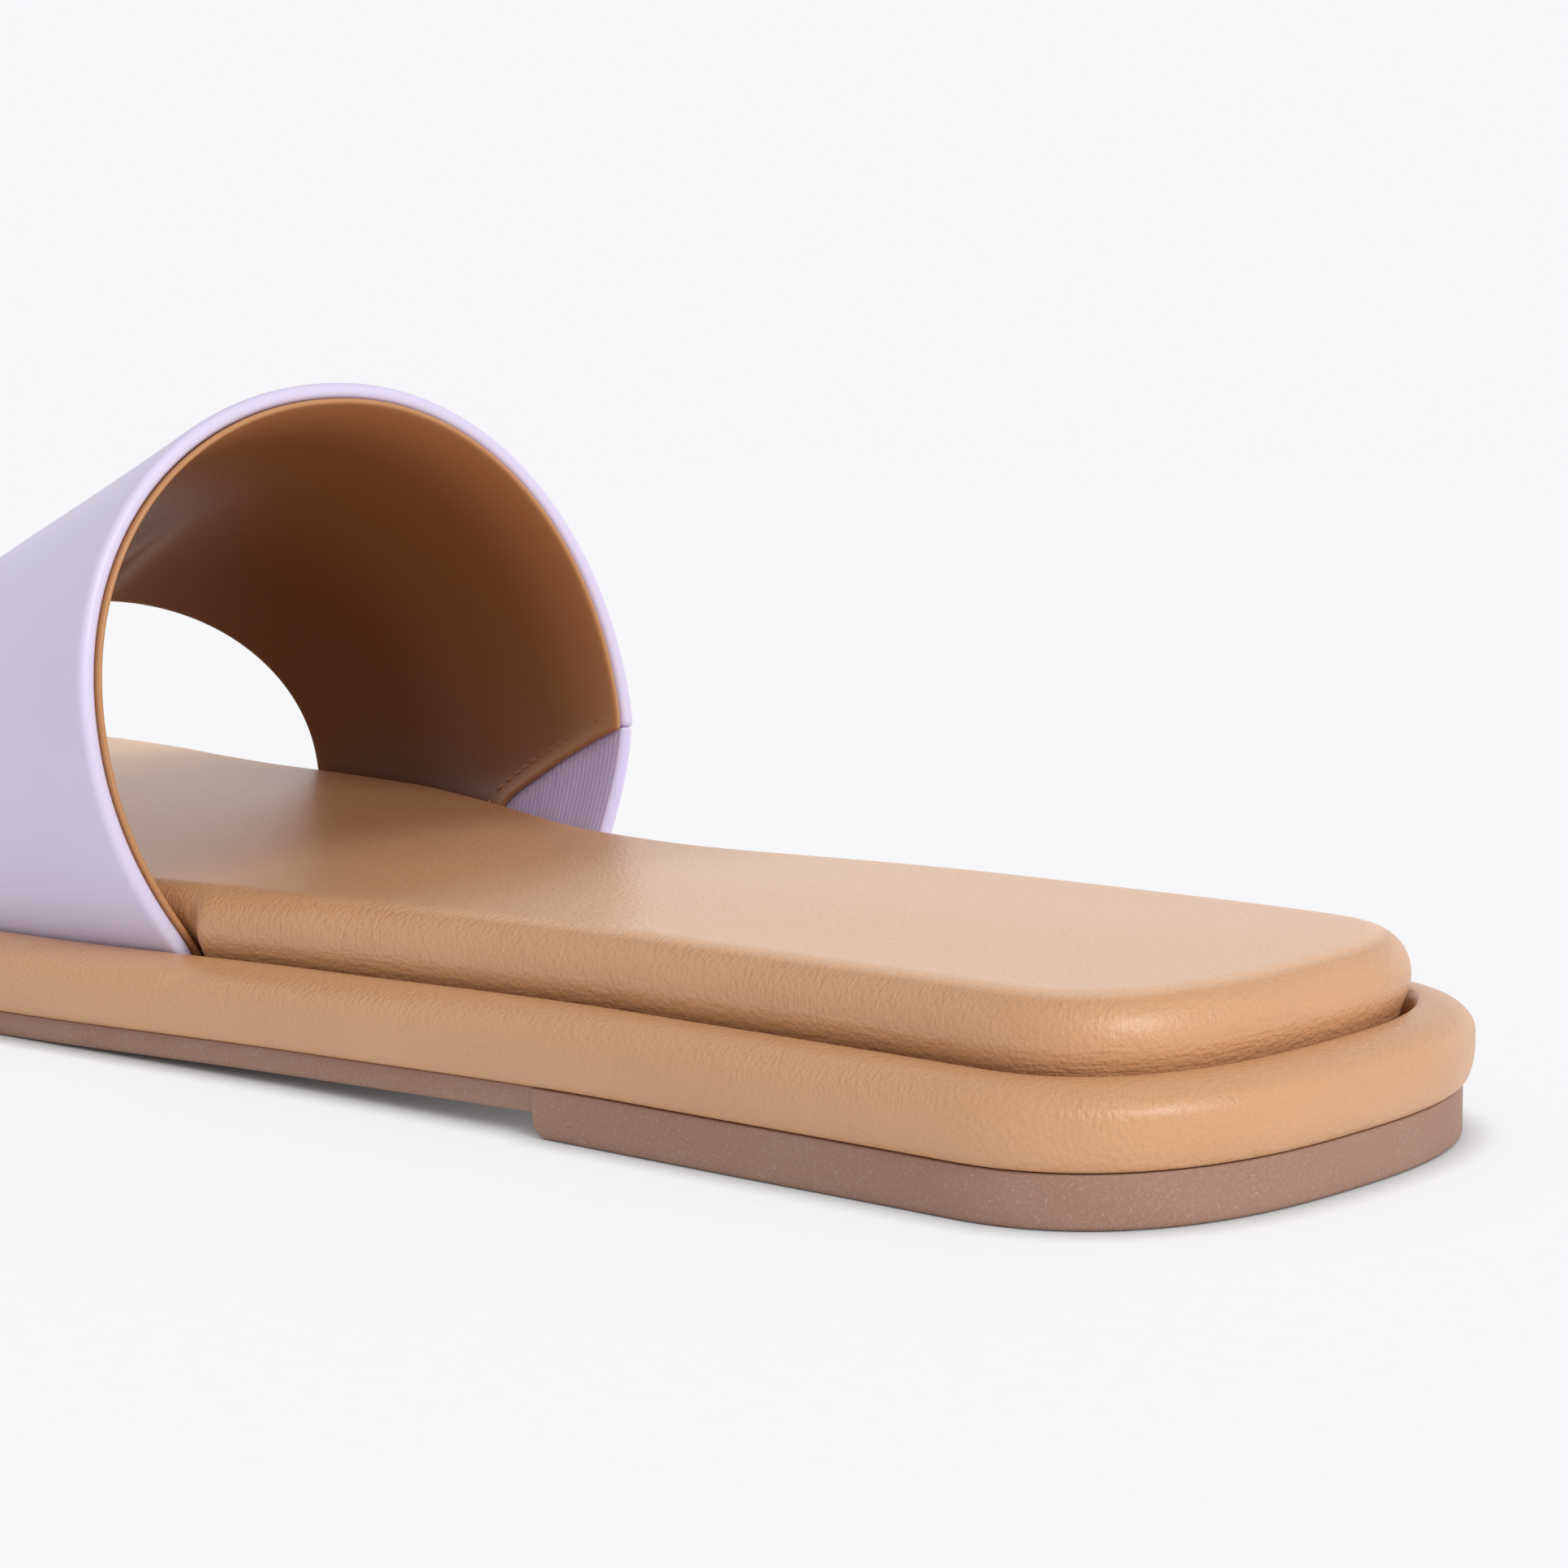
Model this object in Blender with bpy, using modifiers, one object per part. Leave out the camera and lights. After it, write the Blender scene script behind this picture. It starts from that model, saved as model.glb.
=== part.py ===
"""Flat slide sandal for the left foot.

Five pieces: a rubber outsole with a low heel block, a wrapped midsole with a round bead along its
edge, a padded footbed, a wide strap over the instep and an elastic gore in the strap's rear corner
on the big-toe side.  +X points to the toe, +Y to the little-toe side, +Z up.  The shape functions
work in millimetres from the back of the outsole; MM turns their points into metres.
"""

from collections import namedtuple
import math

import bmesh
import bpy
import numpy as np

MM = 0.001

# Outsole
LENGTH = 252.0
SOLE_THICK = 2.7
BREAST_X = 72.0
BREAST_ROUND = 1.5
BREAST_DRAFT = 0.3
BREAST_SHARES = (1.0, 0.6, 0.25, 0.0)
THIN_SET_BACK = 0.5
SOLE_CHAMFER = 0.4

# Ends of the plan: how far the rounding runs in from each end, and how square it is
HEEL_ROUND = 22.0
HEEL_POWER = 2.5
TOE_ROUND = 28.0
TOE_POWER = 2.6
TOE_TIP_Y = -6.0

# Heights above the top of the outsole
GAP = 0.3
BEAD_FOOT_IN = 0.6
BEAD_OUT = 1.15
BEAD_MID = 4.7
BEAD_TOP = 7.9
BEAD_CREST_IN = 4.0
BEAD_LOW_POWER = 2.3
BEAD_TOP_POWER = 2.1
RECESS_IN = 5.0
RECESS_SHOULDER = 5.6
RECESS_FLOOR = 3.6
RECESS_POWER = 2.0
BED_LOW = RECESS_FLOOR + GAP
BED_TUCK_IN = 6.2
BED_SIDE_IN = 5.0
BED_SIDE = 10.2
BED_TOP = 14.7
BED_TOP_IN = 9.6
BED_TOP_POWER = 2.1
BED_CHAMFER = 0.8

# Strap and gore
STRAP_WALL = 2.6
STRAP_LINING = 0.8
STRAP_FOOT_IN = 6.9
STRAP_TUCK_IN = 1.4
STRAP_TUCK_DOWN = 2.9
STRAP_RIM_ROUND = 0.8
ARCH_POWER = 2.1
MEDIAL_FRONT_POWER = 1.93
LATERAL_POWER = 2.1
MEDIAL_POWER = 1.4
GORE_WALL = 1.5
GORE_INSIDE = 0.1
GORE_RIM_ROUND = 0.4
GORE_TOP = 0.1
GORE_REACH = 0.44
GORE_DROP = 0.5
GORE_BEND = 2.4
GORE_GAP_V = 0.006
GORE_GAP_T = 0.03

# Half widths of the outsole on either side of the heel's centre line
Plan = namedtuple("Plan", "x lateral medial")
PLAN = (
    Plan(0, 31.0, 33.2),
    Plan(25, 32.0, 33.1),
    Plan(50, 33.4, 31.5),
    Plan(80, 34.8, 28.8),
    Plan(102, 35.9, 27.3),
    Plan(118, 37.0, 29.2),
    Plan(134, 38.3, 34.8),
    Plan(150, 39.6, 41.0),
    Plan(168, 40.9, 45.9),
    Plan(188, 41.3, 47.6),
    Plan(212, 39.8, 46.0),
    Plan(236, 36.0, 41.5),
    Plan(LENGTH, 32.0, 37.0),
)

# Height of the outsole's top: level on the heel, down to the ball, up again for the toe spring
Line = namedtuple("Line", "x top")
SOLE_LINE = (
    Line(0, 5.2),
    Line(60, 5.1),
    Line(105, 4.0),
    Line(160, SOLE_THICK),
    Line(205, SOLE_THICK),
    Line(228, 3.5),
    Line(LENGTH, 5.6),
)

# Room that the footbed leaves for the strap on either side: at its lower edge, on its side and on its top
Room = namedtuple("Room", "x low side top")
LATERAL_ROOM = (
    Room(0, 0.0, 0.0, 0.0),
    Room(124, 0.0, 0.0, 0.0),
    Room(127, 4.1, 1.95, 0.0),
    Room(155, 4.3, 2.6, 0.0),
    Room(184, 4.4, 3.2, 0.2),
    Room(193, 0.0, 0.0, 0.0),
    Room(LENGTH, 0.0, 0.0, 0.0),
)
MEDIAL_ROOM = (
    Room(0, 0.0, 0.0, 0.0),
    Room(115, 0.0, 0.0, 0.0),
    Room(122, 3.8, 1.8, 0.0),
    Room(151, 4.2, 2.6, 0.6),
    Room(192, 4.5, 4.6, 3.2),
    Room(220, 0.0, 0.0, 0.0),
    Room(LENGTH, 0.0, 0.0, 0.0),
)

# Edges that turn by more than these angles are drawn sharp, and have their rim rounded
SHARP_ANGLE = math.radians(40)
RIM_ANGLE = math.radians(55)

# Strap sections from its rear edge (v = 0) to its front edge (v = 1), at the seam of skin and lining:
# where each foot meets the bead, the crown, how far each flank stands out from its foot, and the
# height of the flank's widest point
Section = namedtuple(
    "Section",
    "x lateral_x medial_x crown_x crown_y crown_z lateral_out medial_out lateral_z medial_z",
)
STRAP = (
    Section(0.0, 127.5, 125.0, 135.5, 3.5, 67.8, 8.7, 9.8, 35.5, 30.0),
    Section(0.5, 152.5, 156.0, 164.0, -2.6, 56.0, 4.0, 2.6, 31.0, 19.4),
    Section(1.0, 180.0, 189.0, 192.0, -3.3, 41.4, 1.6, -1.2, 25.5, 17.0),
)

END_STEPS = 9
ROOM_STEPS = 4
SIDE_STEP = 8.0
LEAST_STEP = 0.4 * SIDE_STEP
ROUND_STEPS = 4
ARCH_STEPS = 10
STRAP_COLUMNS = 12
GORE_COLUMNS = 6
LATERAL_ROWS = (1.0, 0.82, 0.65, 0.48, 0.3, 0.15, 0.0)
MEDIAL_ROWS = (0.0, 0.1, 0.16, 0.24, 0.34, 0.47, 0.62, 0.8, 1.0)
GORE_ROWS = (0.145, 0.19, 0.27, 0.37, 0.5, 0.65, 0.83, 1.0)

LILAC = (0.60, 0.54, 0.74)
LILAC_CLOTH = (0.36, 0.29, 0.45)
TAN = (0.72, 0.41, 0.22)
BROWN = (0.25, 0.135, 0.10)


def smooth(rows, column, x):
    """Value of a table's column at x, on a curve through its rows that never overshoots them."""
    xs = np.array([row.x for row in rows], dtype=float)
    ys = np.array([getattr(row, column) for row in rows], dtype=float)
    step = np.diff(xs)
    rise = np.diff(ys) / step
    both = rise[:-1] + rise[1:]
    same_way = rise[:-1] * rise[1:] > 0
    inner = np.where(same_way, 2 * rise[:-1] * rise[1:] / np.where(same_way, both, 1.0), 0.0)
    slope = np.concatenate([rise[:1], inner, rise[-1:]])
    x = np.clip(np.asarray(x, dtype=float), xs[0], xs[-1])
    i = np.clip(np.searchsorted(xs, x) - 1, 0, len(xs) - 2)
    t = (x - xs[i]) / step[i]
    start = (2 * t**3 - 3 * t**2 + 1) * ys[i] + (t**3 - 2 * t**2 + t) * step[i] * slope[i]
    end = (3 * t**2 - 2 * t**3) * ys[i + 1] + (t**3 - t**2) * step[i] * slope[i + 1]
    return start + end


def sole_top(x):
    return smooth(SOLE_LINE, "top", x)


def sole_edge(x, side):
    """Y of the outsole's edge at x, on the lateral side (+1) or the medial side (-1)."""
    x = np.asarray(x, dtype=float)
    width = smooth(PLAN, "lateral" if side > 0 else "medial", x)
    heel = np.clip((HEEL_ROUND - x) / HEEL_ROUND, 0.0, 1.0)
    toe = np.clip((x - LENGTH + TOE_ROUND) / TOE_ROUND, 0.0, 1.0)
    y = side * width * (1 - heel**HEEL_POWER) ** (1 / HEEL_POWER)
    return TOE_TIP_Y + (y - TOE_TIP_Y) * (1 - toe**TOE_POWER) ** (1 / TOE_POWER)


def stations(extra=()):
    """Places along the sole: close together round both ends, and at any extra places."""
    turn = np.linspace(0.0, math.pi / 2, END_STEPS)
    heel = HEEL_ROUND * (1 - np.cos(turn))
    toe = LENGTH - TOE_ROUND * (1 - np.sin(turn))
    count = int((toe[0] - heel[-1]) / SIDE_STEP)
    side = np.linspace(heel[-1], toe[0], count + 1)[1:-1]
    side = [x for x in side if all(abs(x - place) > LEAST_STEP for place in extra)]
    return np.sort(np.concatenate([heel, side, toe, list(extra)]))


def outline(xs):
    """Ring round the sole: heel, lateral edge, toe, medial edge."""
    lateral = np.column_stack([xs, sole_edge(xs, 1)])
    medial = np.column_stack([xs, sole_edge(xs, -1)])
    return np.concatenate([lateral, medial[-2:0:-1]])


def inset_ring(ring, inset):
    """The ring moved inwards along its own normals."""
    along = np.roll(ring, -1, axis=0) - np.roll(ring, 1, axis=0)
    along /= np.linalg.norm(along, axis=1)[:, None]
    inward = np.column_stack([along[:, 1], -along[:, 0]])
    return ring + inward * np.broadcast_to(inset, len(ring))[:, None]


def quarter(start, end, power, flat_first):
    """Rounded corner from start to end, level at its first point or at its last."""
    points = []
    for turn in np.linspace(0.0, math.pi / 2, ROUND_STEPS + 1):
        near = math.cos(turn) ** (2 / power)
        far = math.sin(turn) ** (2 / power)
        across = far if flat_first else 1 - near
        up = 1 - near if flat_first else far
        points.append((start[0] + (end[0] - start[0]) * across, start[1] + (end[1] - start[1]) * up))
    return points


def rung_faces(first, count, flip):
    """Cap of a ring: strips that run across from one side to the other."""
    faces = []
    for k in range(count // 2):
        corners = {k: None, k + 1: None, (count - k - 1) % count: None, (count - k) % count: None}
        face = [first + corner for corner in corners]
        faces.append(face[::-1] if flip else face)
    return faces


def new_object(name, points, faces, material, root):
    """Mesh object under the sandal's root, from points in millimetres."""
    mesh = bpy.data.meshes.new(name)
    mesh.from_pydata([tuple(float(c) * MM for c in point) for point in points], [], faces)
    mesh.materials.append(material)
    mesh.shade_smooth()
    mesh.set_sharp_from_angle(angle=SHARP_ANGLE)
    item = bpy.data.objects.new(name, mesh)
    item.parent = root
    bpy.data.collections["flat_sandal"].objects.link(item)
    return item


def loft(name, rings, material, root):
    """Closed solid through a stack of matched rings, capped at both ends."""
    count = len(rings[0])
    faces = []
    for level in range(len(rings) - 1):
        low = level * count
        for k in range(count):
            after = (k + 1) % count
            faces.append((low + k, low + after, low + count + after, low + count + k))
    faces += rung_faces(0, count, False)
    faces += rung_faces((len(rings) - 1) * count, count, True)
    item = new_object(name, np.concatenate(rings), faces, material, root)
    work = bmesh.new()
    work.from_mesh(item.data)
    bmesh.ops.recalc_face_normals(work, faces=work.faces)
    work.to_mesh(item.data)
    work.free()
    return item


def ring_at(ring, inset, height):
    """The inset ring at a height above the outsole's top."""
    flat = inset_ring(ring, inset)
    return np.column_stack([flat, sole_top(flat[:, 0]) + height])


def outsole_bottom(x):
    """Underside of the outsole: the heel block on the floor, its breast, then the thin sole."""
    thin = sole_top(x) - SOLE_THICK
    into = np.clip(x - BREAST_X + BREAST_ROUND, 0.0, BREAST_ROUND)
    block = BREAST_ROUND - np.sqrt(BREAST_ROUND**2 - into**2)
    return np.where(x > BREAST_X + BREAST_DRAFT / 2, thin, block)


def build_outsole(material, root):
    breast = BREAST_X - BREAST_ROUND * np.array(BREAST_SHARES)
    xs = stations([*breast, BREAST_X + BREAST_DRAFT])
    ring = outline(xs)
    x = ring[:, 0]
    back = np.where(x > BREAST_X + BREAST_DRAFT / 2, THIN_SET_BACK, 0.0)
    low = outsole_bottom(x)
    top = sole_top(x)
    levels = (
        (SOLE_CHAMFER, low),
        (0.0, low + SOLE_CHAMFER),
        (0.0, top - SOLE_CHAMFER),
        (SOLE_CHAMFER, top),
    )
    rings = [np.column_stack([inset_ring(ring, back + inset), z]) for inset, z in levels]
    return loft("outsole", rings, material, root)


def build_midsole(material, root):
    ring = outline(stations())
    foot = (BEAD_FOOT_IN, GAP)
    bulge = (-BEAD_OUT, BEAD_MID)
    crest = (BEAD_CREST_IN, BEAD_TOP)
    shoulder = (RECESS_IN, RECESS_SHOULDER)
    profile = quarter(foot, bulge, BEAD_LOW_POWER, True)
    profile += quarter(bulge, crest, BEAD_TOP_POWER, False)[1:]
    profile += quarter(crest, shoulder, RECESS_POWER, True)[1:]
    profile.append((RECESS_IN, RECESS_FLOOR))
    rings = [ring_at(ring, inset, height) for inset, height in profile]
    return loft("midsole", rings, material, root)


def room_at(ring, height):
    """Room for the strap along a ring at a height, from the table of its own side."""
    levels = []
    for column in ("low", "side", "top"):
        lateral = smooth(LATERAL_ROOM, column, ring[:, 0])
        levels.append(np.where(ring[:, 1] > 0, lateral, smooth(MEDIAL_ROOM, column, ring[:, 0])))
    low, side, top = levels
    if height < BED_SIDE:
        return low + (side - low) * (height - BED_LOW) / (BED_SIDE - BED_LOW)
    return side + (top - side) * (height - BED_SIDE) / (BED_TOP - BED_SIDE)


def build_footbed(material, root):
    ends = [(room[k].x, room[k + 1].x) for room in (LATERAL_ROOM, MEDIAL_ROOM) for k in (1, 4)]
    ring = outline(stations([x for start, end in ends for x in np.linspace(start, end, ROOM_STEPS)]))
    profile = [(BED_TUCK_IN + BED_CHAMFER, BED_LOW), (BED_TUCK_IN, BED_LOW + BED_CHAMFER)]
    for share in np.linspace(0.0, 1.0, ROUND_STEPS + 1):
        ease = share * share * (3 - 2 * share)
        height = RECESS_SHOULDER + (BED_SIDE - RECESS_SHOULDER) * share
        profile.append((BED_TUCK_IN + (BED_SIDE_IN - BED_TUCK_IN) * ease, height))
    side, top = (BED_SIDE_IN, BED_SIDE), (BED_TOP_IN, BED_TOP)
    profile += quarter(side, top, BED_TOP_POWER, False)[1:]
    rings = []
    for inset, height in profile:
        rings.append(ring_at(ring, inset + room_at(ring, height), height))
    return loft("footbed", rings, material, root)


def strap_frame(v, side):
    """Foot, flank and crown of the strap at v on one side."""
    name = "lateral" if side > 0 else "medial"
    foot_x = float(smooth(STRAP, name + "_x", v))
    slope = float(sole_edge(foot_x + 1.0, side) - sole_edge(foot_x - 1.0, side)) / 2
    foot_y = float(sole_edge(foot_x, side)) - side * STRAP_FOOT_IN * math.hypot(1.0, slope)
    foot = np.array([foot_x, foot_y, float(sole_top(foot_x)) + BEAD_TOP])
    crown = np.array([float(smooth(STRAP, "crown_" + axis, v)) for axis in "xyz"])
    flank_y = foot[1] + side * float(smooth(STRAP, name + "_out", v))
    flank_z = float(smooth(STRAP, name + "_z", v))
    return foot, flank_y, flank_z, crown


def on_plane(y, z, foot, crown):
    """Point of a section, whose plane leans from its foot to its crown."""
    return np.array([foot[0] + (crown[0] - foot[0]) * (z - foot[2]) / (crown[2] - foot[2]), y, z])


def flank_point(v, side, t):
    """Strap between its widest point (t = 0) and its foot (t = 1); past 1 it tucks in beside the bead."""
    foot, flank_y, flank_z, crown = strap_frame(v, side)
    if t > 1.0:
        return foot + np.array([0.0, -side * STRAP_TUCK_IN, -STRAP_TUCK_DOWN]) * (t - 1.0)
    y = flank_y + (foot[1] - flank_y) * t ** (LATERAL_POWER if side > 0 else MEDIAL_POWER)
    return on_plane(y, flank_z + (foot[2] - flank_z) * t, foot, crown)


def arch_point(v, side, turn):
    """Strap between its widest point (turn = 0) and its crown (turn = 90 degrees)."""
    foot, flank_y, flank_z, crown = strap_frame(v, side)
    power = ARCH_POWER if side > 0 else ARCH_POWER + (MEDIAL_FRONT_POWER - ARCH_POWER) * v
    y = crown[1] + (flank_y - crown[1]) * math.cos(turn) ** (2 / power)
    z = flank_z + (crown[2] - flank_z) * math.sin(turn) ** (2 / power)
    return on_plane(y, z, foot, crown)


def gore_edge(t):
    """How far forward the gore reaches on the medial flank at t."""
    share = min(max((t - GORE_TOP) / GORE_DROP, 0.0), 1.0)
    return GORE_REACH * (1 - (1 - share) ** GORE_BEND) ** (1 / GORE_BEND)


def grid_faces(rows, columns):
    """Faces of a sheet whose rows run from the lateral to the medial side, facing out."""
    faces = []
    for r in range(rows - 1):
        for c in range(columns - 1):
            corner = r * columns + c
            faces.append((corner, corner + columns, corner + columns + 1, corner + 1))
    return faces


def shell(item, wall, inside, rim_round):
    """Give an open sheet its wall, part of it inside the sheet, and round its rim."""
    solid = item.modifiers.new("wall", "SOLIDIFY")
    solid.thickness = wall * MM
    solid.offset = 1 - 2 * inside / wall
    solid.use_even_offset = True
    rim = item.modifiers.new("rim", "BEVEL")
    rim.width = rim_round * MM
    rim.segments = 2
    rim.limit_method = "ANGLE"
    rim.angle_limit = RIM_ANGLE
    return item


def build_strap(material, root):
    shares = np.linspace(0.0, 1.0, STRAP_COLUMNS + 1)
    turns = np.linspace(0.0, math.pi / 2, ARCH_STEPS + 1)[1:]
    points = []
    for t in (2.0,) + LATERAL_ROWS:
        points += [flank_point(v, 1, t) for v in shares]
    for turn in turns:
        points += [arch_point(v, 1, turn) for v in shares]
    for turn in turns[-2::-1]:
        points += [arch_point(v, -1, turn) for v in shares]
    for t, even in zip(MEDIAL_ROWS, np.linspace(0.0, 1.0, len(MEDIAL_ROWS))):
        start = gore_edge(t)
        points += [flank_point(start + (1 - start) * v, -1, t + (even - t) * v) for v in shares]
    start = gore_edge(1.0)
    points += [flank_point(start + (1 - start) * v, -1, 2.0) for v in shares]
    columns = STRAP_COLUMNS + 1
    item = new_object("strap", points, grid_faces(len(points) // columns, columns), material, root)
    return shell(item, STRAP_WALL, STRAP_LINING, STRAP_RIM_ROUND)


def build_gore(material, root):
    shares = np.linspace(0.0, 1.0, GORE_COLUMNS + 1)
    edge = [gore_edge(t) for t in MEDIAL_ROWS]
    points = []
    for t in GORE_ROWS + (2.0,):
        reach = np.interp(t - GORE_GAP_T, MEDIAL_ROWS, edge) - GORE_GAP_V
        points += [flank_point(reach * v, -1, t) for v in shares]
    columns = GORE_COLUMNS + 1
    item = new_object("gore", points, grid_faces(len(points) // columns, columns), material, root)
    return shell(item, GORE_WALL, GORE_INSIDE, GORE_RIM_ROUND)


def new_material(name, colour, roughness):
    material = bpy.data.materials.new(name)
    material.use_nodes = True
    surface = material.node_tree.nodes["Principled BSDF"]
    surface.inputs["Base Color"].default_value = (*colour, 1.0)
    surface.inputs["Roughness"].default_value = roughness
    surface.inputs["Metallic"].default_value = 0.0
    return material


def main():
    for item in list(bpy.data.objects):
        bpy.data.objects.remove(item)
    collection = bpy.data.collections.new("flat_sandal")
    bpy.context.scene.collection.children.link(collection)

    # The root sets the middle of the sandal's footprint on the origin
    rim = inset_ring(outline(stations()), -BEAD_OUT)
    middle = (rim.min(axis=0) + rim.max(axis=0)) / 2
    root = bpy.data.objects.new("sandal_root", None)
    root.location = (-middle[0] * MM, -middle[1] * MM, 0.0)
    collection.objects.link(root)

    build_outsole(new_material("brown_rubber", BROWN, 0.7), root)
    build_midsole(new_material("tan_wrap", TAN, 0.45), root)
    build_footbed(new_material("tan_footbed", TAN, 0.45), root)
    build_strap(new_material("lilac_skin", LILAC, 0.5), root)
    build_gore(new_material("lilac_elastic", LILAC_CLOTH, 0.8), root)
    bpy.context.view_layer.update()


main()
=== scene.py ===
from collections import namedtuple
from functools import lru_cache
import math

import bmesh
import bpy
from mathutils import Matrix, Vector
import numpy as np


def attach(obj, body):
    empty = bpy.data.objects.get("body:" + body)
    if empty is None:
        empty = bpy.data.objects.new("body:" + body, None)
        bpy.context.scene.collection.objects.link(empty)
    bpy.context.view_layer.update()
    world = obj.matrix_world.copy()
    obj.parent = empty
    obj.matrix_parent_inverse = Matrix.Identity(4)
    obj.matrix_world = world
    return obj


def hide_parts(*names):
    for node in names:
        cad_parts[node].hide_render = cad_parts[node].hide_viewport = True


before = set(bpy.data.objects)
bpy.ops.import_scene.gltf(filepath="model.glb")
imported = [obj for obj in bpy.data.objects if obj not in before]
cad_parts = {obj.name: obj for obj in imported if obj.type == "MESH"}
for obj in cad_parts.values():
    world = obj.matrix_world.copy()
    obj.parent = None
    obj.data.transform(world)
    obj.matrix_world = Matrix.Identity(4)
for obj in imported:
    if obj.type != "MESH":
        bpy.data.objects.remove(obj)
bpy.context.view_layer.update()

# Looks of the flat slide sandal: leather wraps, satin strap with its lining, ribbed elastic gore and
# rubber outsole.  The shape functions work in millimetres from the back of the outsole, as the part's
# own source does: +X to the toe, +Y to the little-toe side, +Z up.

MM = 0.001

# Outsole
LENGTH = 252.0
SOLE_THICK = 2.7
BREAST_X = 72.0
BREAST_ROUND = 1.5
BREAST_DRAFT = 0.3
BREAST_SHARES = (1.0, 0.8, 0.6, 0.4, 0.25, 0.1, 0.0)
THIN_SET_BACK = 0.5
SOLE_LOW_ROUND = 0.6
SOLE_TOP_ROUND = 0.2
SOLE_ROUND_POWER = 2.0
SOLE_SIDE_SHARES = (0.3, 0.7)

# Ends of the plan: how far the rounding runs in from each end, and how square it is
HEEL_ROUND = 22.0
HEEL_POWER = 2.5
TOE_ROUND = 28.0
TOE_POWER = 2.6
TOE_TIP_Y = -6.0

# Bead, recess and footbed: heights above the top of the outsole, insets from its edge, and how square
# their roundings are
GAP = 0.3
BEAD_FOOT_IN = 0.3
BEAD_FOOT = 0.12
BEAD_OUT = 1.15
BEAD_MID = 4.7
BEAD_TOP = 7.9
BEAD_CREST_IN = 4.0
BEAD_LOW_POWER = 2.3
BEAD_TOP_POWER = 2.1
RECESS_IN = 5.0
RECESS_SHOULDER = 5.6
RECESS_FLOOR = 3.6
RECESS_POWER = 2.0
BED_LOW = RECESS_FLOOR + GAP
BED_TUCK_IN = 6.2
BED_SIDE_IN = 5.0
BED_SIDE = 10.2
BED_TOP = 14.7
BED_TOP_IN = 9.6
BED_TOP_POWER = 2.1
BED_CHAMFER = 0.8
BED_DOME = 0.35
SPINE_IN = 30.0

# Strap and gore, from the seam of skin and lining
SKIN_WALL = 1.9
LINING_WALL = 0.75
LINING_GAP = 0.05
LINING_LAP = 0.4
SKIN_RIM_IN = 1.7
LINING_RIM_IN = 1.2
STRAP_FOOT_IN = 6.9
STRAP_TUCK_IN = 1.4
STRAP_TUCK_DOWN = 2.9
ARCH_POWER = 2.1
MEDIAL_FRONT_POWER = 1.93
LATERAL_POWER = 2.1
MEDIAL_POWER = 1.4
BEND_SOFT = 0.12
RIM_BAND = 3.0
GORE_WALL = 1.5
GORE_INSIDE = 0.0
GORE_TOP = 0.1
GORE_REACH = 0.44
GORE_DROP = 0.5
GORE_BEND = 2.4
GORE_GAP = 0.06

# Stitches in the lining beside the gore, between two turns of its edge
STITCH_TURNS = (0.05, 1.5)
STITCH_PITCH = 2.0
STITCH_IN = 1.5
STITCH_HALF = 0.75
STITCH_WIDE = 0.22
STITCH_OUT = 0.1

# Places round the strap's arch, where its lateral tuck ends at 0 and its lateral foot is at 1
LATERAL_FLANK = 2.0
CROWN = 3.0
MEDIAL_FLANK = 4.0
MEDIAL_FOOT = 5.0
MEDIAL_TUCK = 6.0

# Half widths of the outsole on either side of the heel's centre line
Plan = namedtuple("Plan", "x lateral medial")
PLAN = (
    Plan(0, 31.0, 33.2),
    Plan(25, 32.0, 33.1),
    Plan(50, 33.4, 31.5),
    Plan(80, 34.8, 28.8),
    Plan(102, 35.9, 27.3),
    Plan(118, 37.0, 29.2),
    Plan(134, 38.3, 34.8),
    Plan(150, 39.6, 41.0),
    Plan(168, 40.9, 45.9),
    Plan(188, 41.3, 47.6),
    Plan(212, 39.8, 46.0),
    Plan(236, 36.0, 41.5),
    Plan(LENGTH, 32.0, 37.0),
)

# Height of the outsole's top: level on the heel, down to the ball, up again for the toe spring
Line = namedtuple("Line", "x top")
SOLE_LINE = (
    Line(0, 5.2),
    Line(60, 5.1),
    Line(105, 4.0),
    Line(160, SOLE_THICK),
    Line(205, SOLE_THICK),
    Line(228, 3.5),
    Line(LENGTH, 5.6),
)

# Room that the footbed leaves for the strap on either side: at its lower edge, on its side and on top
Room = namedtuple("Room", "x low side top")
LATERAL_ROOM = (
    Room(0, 0.0, 0.0, 0.0),
    Room(124, 0.0, 0.0, 0.0),
    Room(127, 4.1, 1.95, 0.0),
    Room(155, 4.3, 2.6, 0.0),
    Room(184, 4.4, 3.2, 0.2),
    Room(193, 0.0, 0.0, 0.0),
    Room(LENGTH, 0.0, 0.0, 0.0),
)
MEDIAL_ROOM = (
    Room(0, 0.0, 0.0, 0.0),
    Room(115, 0.0, 0.0, 0.0),
    Room(122, 3.8, 1.8, 0.0),
    Room(151, 4.2, 2.6, 0.6),
    Room(192, 4.5, 4.6, 3.2),
    Room(220, 0.0, 0.0, 0.0),
    Room(LENGTH, 0.0, 0.0, 0.0),
)

# Strap sections from its rear edge (v = 0) to its front edge (v = 1): where each foot meets the bead,
# the crown, how far each flank stands out from its foot, and the height of the flank's widest point
Section = namedtuple(
    "Section",
    "x lateral_x medial_x crown_x crown_y crown_z lateral_out medial_out lateral_z medial_z",
)
STRAP = (
    Section(0.0, 127.5, 125.0, 135.5, 3.5, 67.8, 8.7, 9.8, 35.5, 30.0),
    Section(0.5, 152.5, 156.0, 164.0, -2.6, 56.0, 4.0, 2.6, 31.0, 19.4),
    Section(1.0, 180.0, 189.0, 192.0, -3.3, 41.4, 1.6, -1.2, 25.5, 17.0),
)
STRAP_LENGTH = 58.0
FLANK_HEIGHT = 16.0

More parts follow.
